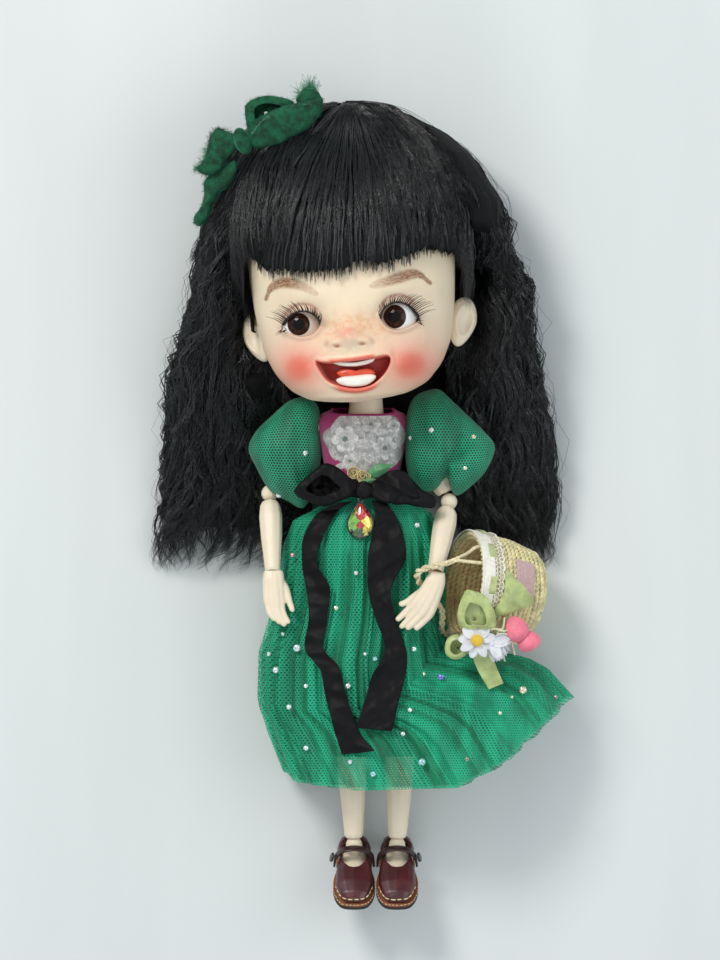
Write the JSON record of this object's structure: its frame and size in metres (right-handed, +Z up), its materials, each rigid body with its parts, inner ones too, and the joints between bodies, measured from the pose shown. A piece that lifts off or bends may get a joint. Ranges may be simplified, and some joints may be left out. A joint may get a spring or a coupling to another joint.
{
  "type": "fashion doll",
  "caption": "Ball-jointed fashion doll lying on its back, with long black hair, a velvet hair bow, a green tulle dress, leather strap shoes and a wicker basket on one arm.",
  "frame": {"origin": "On the flat face that the skirt rests on, under the lying doll", "axes": "X to the doll's left, Y up the body to the crown of the head, Z up off the floor, the way the face looks"},
  "size_m": [0.152, 0.292, 0.0777],
  "materials": {
    "skin": "satin",
    "vinyl": "matte",
    "eye": "gloss",
    "teeth": "gloss",
    "tongue": "satin",
    "mouth": "matte",
    "wig_mesh": "mesh",
    "hair": "glossy",
    "velvet": "pile",
    "tulle": "net",
    "lining": "satin",
    "cotton": "woven",
    "ribbon": "grosgrain",
    "crystal": "faceted",
    "leather": "satin",
    "sole": "matte",
    "button": "gloss",
    "wicker": "woven",
    "silk": "satin"
  },
  "bodies": {
    "torso": {"torso": "skin", "bodice": "cotton", "skirt_lining": "lining", "tulle_skirt": "tulle", "sash": "ribbon", "sash_bow": "ribbon", "sash_tail_r": "ribbon", "sash_tail_l": "ribbon", "pendant": "crystal", "sash_roses": "silk"},
    "neck": {"neck": "skin"},
    "head": {"head_shell": "vinyl", "head_cap": "vinyl", "mouth_lining": "mouth", "upper_teeth": "teeth", "tongue": "tongue", "lower_teeth": "teeth", "eye_r": "eye", "eye_l": "eye", "wig_cap": "wig_mesh", "hair_crown": "hair", "hair_fringe": "hair", "hair_back": "hair", "hair_r": "hair", "hair_l": "hair", "hair_bow": "velvet", "hair_bow_knot": "velvet"},
    "shoulder_r": {"shoulder_ball_r": "skin"},
    "shoulder_l": {"shoulder_ball_l": "skin"},
    "upper_arm_r": {"upper_arm_r": "skin", "elbow_ball_r": "skin", "sleeve_r": "tulle"},
    "upper_arm_l": {"upper_arm_l": "skin", "elbow_ball_l": "skin", "sleeve_l": "tulle"},
    "forearm_r": {"forearm_r": "skin"},
    "forearm_l": {"forearm_l": "skin"},
    "hand_r": {"hand_r": "skin"},
    "hand_l": {"hand_l": "skin"},
    "basket": {"basket_body": "wicker", "basket_handle": "wicker", "basket_posy": "silk"},
    "hip_r": {"hip_ball_r": "skin"},
    "hip_l": {"hip_ball_l": "skin"},
    "thigh_r": {"thigh_r": "skin", "knee_ball_r": "skin"},
    "thigh_l": {"thigh_l": "skin", "knee_ball_l": "skin"},
    "shin_r": {"shin_r": "skin"},
    "shin_l": {"shin_l": "skin"},
    "foot_r": {"foot_r": "skin", "shoe_upper_r": "leather", "shoe_sole_r": "sole", "shoe_strap_r": "leather", "shoe_button_r": "button"},
    "foot_l": {"foot_l": "skin", "shoe_upper_l": "leather", "shoe_sole_l": "sole", "shoe_strap_l": "leather", "shoe_button_l": "button"}
  },
  "joints": [
    {"name": "neck_nod", "type": "hinge", "parent": "torso", "child": "neck", "pos_m": [-0.0014, 0.077, 0.026], "axis": [1, 0, 0], "range_deg": [-10, 20], "deforming": ["hair_back", "hair_r", "hair_l", "sleeve_r", "sleeve_l"]},
    {"name": "head_turn", "type": "hinge", "parent": "neck", "child": "head", "pos_m": [-0.0014, 0.09, 0.026], "axis": [0, 1, 0], "range_deg": [-60, 60], "deforming": ["hair_back", "hair_r", "hair_l", "sleeve_r", "sleeve_l"]},
    {"name": "shoulder_swing_r", "type": "hinge", "parent": "torso", "child": "shoulder_r", "pos_m": [-0.0189, 0.0765, 0.026], "axis": [-1, 0, 0], "range_deg": [-20, 115], "deforming": ["hair_back", "hair_r", "hair_l", "sleeve_r", "sleeve_l", "tulle_skirt", "skirt_lining", "sash_bow", "sash_tail_r", "sash_tail_l"]},
    {"name": "shoulder_raise_r", "type": "hinge", "parent": "shoulder_r", "child": "upper_arm_r", "pos_m": [-0.0189, 0.0765, 0.026], "axis": [0, 0, -1], "range_deg": [-10, 70], "deforming": ["hair_back", "hair_r", "hair_l", "sleeve_r", "sleeve_l", "tulle_skirt", "skirt_lining", "sash_bow", "sash_tail_r", "sash_tail_l"]},
    {"name": "elbow_bend_r", "type": "hinge", "parent": "upper_arm_r", "child": "forearm_r", "pos_m": [-0.03593, 0.05249, 0.02292], "axis": [-1, 0, 0], "range_deg": [0, 75], "deforming": ["hair_r", "sleeve_r", "tulle_skirt", "skirt_lining", "sash_bow", "sash_tail_r"]},
    {"name": "wrist_bend_r", "type": "hinge", "parent": "forearm_r", "child": "hand_r", "pos_m": [-0.03484, 0.02337, 0.03435], "axis": [-1, 0, 0], "range_deg": [-20, 45], "deforming": ["tulle_skirt", "skirt_lining", "sash_tail_r"]},
    {"name": "shoulder_swing_l", "type": "hinge", "parent": "torso", "child": "shoulder_l", "pos_m": [0.0161, 0.0765, 0.026], "axis": [-1, 0, 0], "range_deg": [-5, 110], "deforming": ["hair_back", "hair_r", "hair_l", "sleeve_r", "sleeve_l", "tulle_skirt", "skirt_lining", "sash_bow", "sash_tail_r", "sash_tail_l"]},
    {"name": "shoulder_raise_l", "type": "hinge", "parent": "shoulder_l", "child": "upper_arm_l", "pos_m": [0.0161, 0.0765, 0.026], "axis": [0, 0, 1], "range_deg": [0, 70], "deforming": ["hair_back", "hair_r", "hair_l", "sleeve_r", "sleeve_l", "tulle_skirt", "skirt_lining", "sash_bow", "sash_tail_r", "sash_tail_l"]},
    {"name": "elbow_bend_l", "type": "hinge", "parent": "upper_arm_l", "child": "forearm_l", "pos_m": [0.02826, 0.04953, 0.02698], "axis": [-1, 0, 0], "range_deg": [0, 65], "deforming": ["hair_l", "sleeve_l", "tulle_skirt", "skirt_lining", "sash_bow", "sash_tail_l"]},
    {"name": "wrist_bend_l", "type": "hinge", "parent": "forearm_l", "child": "hand_l", "pos_m": [0.02302, 0.02286, 0.0425], "axis": [-1, 0, 0], "range_deg": [-10, 40], "deforming": ["tulle_skirt", "skirt_lining", "sash_tail_l", "basket_handle"]},
    {"name": "basket_swing", "type": "hinge", "parent": "forearm_l", "child": "basket", "pos_m": [0.02, 0.021, 0.0415], "axis": [0, 0, 1], "range_deg": [-20, 15], "deforming": ["basket_handle", "tulle_skirt", "skirt_lining", "sash_tail_l", "hair_l"]},
    {"name": "hip_flex_r", "type": "hinge", "parent": "torso", "child": "hip_r", "pos_m": [-0.0063, 0.026, 0.026], "axis": [-1, 0, 0], "range_deg": [0, 75], "deforming": ["tulle_skirt", "skirt_lining", "sash_bow", "sash_tail_r", "sash_tail_l"]},
    {"name": "hip_spread_r", "type": "hinge", "parent": "hip_r", "child": "thigh_r", "pos_m": [-0.0063, 0.026, 0.026], "axis": [0, 0, -1], "range_deg": [0, 30], "deforming": ["tulle_skirt", "skirt_lining", "sash_tail_r", "sash_tail_l"]},
    {"name": "knee_bend_r", "type": "hinge", "parent": "thigh_r", "child": "shin_r", "pos_m": [-0.0072, -0.02274, 0.02103], "axis": [1, 0, 0], "range_deg": [0, 90], "deforming": ["tulle_skirt", "skirt_lining"]},
    {"name": "ankle_tilt_r", "type": "hinge", "parent": "shin_r", "child": "foot_r", "pos_m": [-0.0057, -0.0733, 0.01454], "axis": [1, 0, 0], "range_deg": [-20, 20]},
    {"name": "hip_flex_l", "type": "hinge", "parent": "torso", "child": "hip_l", "pos_m": [0.0101, 0.026, 0.026], "axis": [-1, 0, 0], "range_deg": [0, 30], "deforming": ["tulle_skirt", "skirt_lining", "sash_bow", "sash_tail_r", "sash_tail_l"]},
    {"name": "hip_spread_l", "type": "hinge", "parent": "hip_l", "child": "thigh_l", "pos_m": [0.0101, 0.026, 0.026], "axis": [0, 0, 1], "range_deg": [0, 15], "deforming": ["tulle_skirt", "skirt_lining", "sash_tail_r", "sash_tail_l"]},
    {"name": "knee_bend_l", "type": "hinge", "parent": "thigh_l", "child": "shin_l", "pos_m": [0.01109, -0.02274, 0.02103], "axis": [1, 0, 0], "range_deg": [0, 90], "deforming": ["tulle_skirt", "skirt_lining"]},
    {"name": "ankle_tilt_l", "type": "hinge", "parent": "shin_l", "child": "foot_l", "pos_m": [0.0097, -0.0733, 0.01454], "axis": [1, 0, 0], "range_deg": [-20, 20]}
  ]
}
